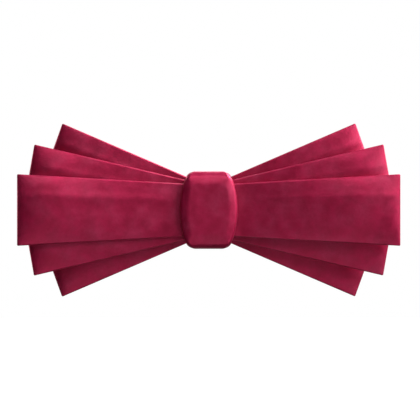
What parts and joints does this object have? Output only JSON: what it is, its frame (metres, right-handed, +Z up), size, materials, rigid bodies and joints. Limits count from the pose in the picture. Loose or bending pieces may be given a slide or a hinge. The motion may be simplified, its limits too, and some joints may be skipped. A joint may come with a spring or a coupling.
{
  "type": "bow tie",
  "caption": "Layered clip-on bow tie in crimson cloth, with crossing ribbon loops, a padded knot and a sprung collar clip behind it.",
  "frame": {"origin": "middle of the knot's flat back face, as the tie is worn", "axes": "+X to the right of someone facing the tie, along its width; +Y out of the back of the knot, towards the wearer; +Z up"},
  "size_m": [0.13, 0.0251, 0.059],
  "materials": {
    "crimson_cloth": "satin",
    "interlining_cloth": "matte",
    "wadding": "matte",
    "sewing_thread": "matte",
    "nickel_plated_steel": "polished",
    "spring_steel": "satin"
  },
  "bodies": {
    "bow": {"front_bow": "crimson_cloth", "front_interlining": "interlining_cloth", "middle_rising_bow": "crimson_cloth", "middle_rising_interlining": "interlining_cloth", "middle_falling_bow": "crimson_cloth", "middle_falling_interlining": "interlining_cloth", "back_rising_bow": "crimson_cloth", "back_rising_interlining": "interlining_cloth", "back_falling_bow": "crimson_cloth", "back_falling_interlining": "interlining_cloth", "knot_wrap": "crimson_cloth", "knot_padding": "wadding", "binding_thread": "sewing_thread", "wrap_seam_thread": "sewing_thread", "clip_plate": "nickel_plated_steel", "hinge_pin_right": "nickel_plated_steel", "jaw_spring_right": "spring_steel", "hinge_pin_left": "nickel_plated_steel", "jaw_spring_left": "spring_steel"},
    "right_jaw": {"clip_jaw_right": "nickel_plated_steel"},
    "left_jaw": {"clip_jaw_left": "nickel_plated_steel"}
  },
  "joints": [
    {"name": "right_jaw_hinge", "type": "hinge", "parent": "bow", "child": "right_jaw", "pos_m": [0.018, 0.0002, 0], "axis": [0, 0, 1], "range_deg": [0, 28], "stiffness_Nm_per_rad": 0.03, "springref_deg": -20.05, "deforming": ["jaw_spring_right"]},
    {"name": "left_jaw_hinge", "type": "hinge", "parent": "bow", "child": "left_jaw", "pos_m": [-0.018, 0.0002, 0], "axis": [0, 0, -1], "range_deg": [0, 28], "stiffness_Nm_per_rad": 0.03, "springref_deg": -20.05, "deforming": ["jaw_spring_left"]}
  ]
}
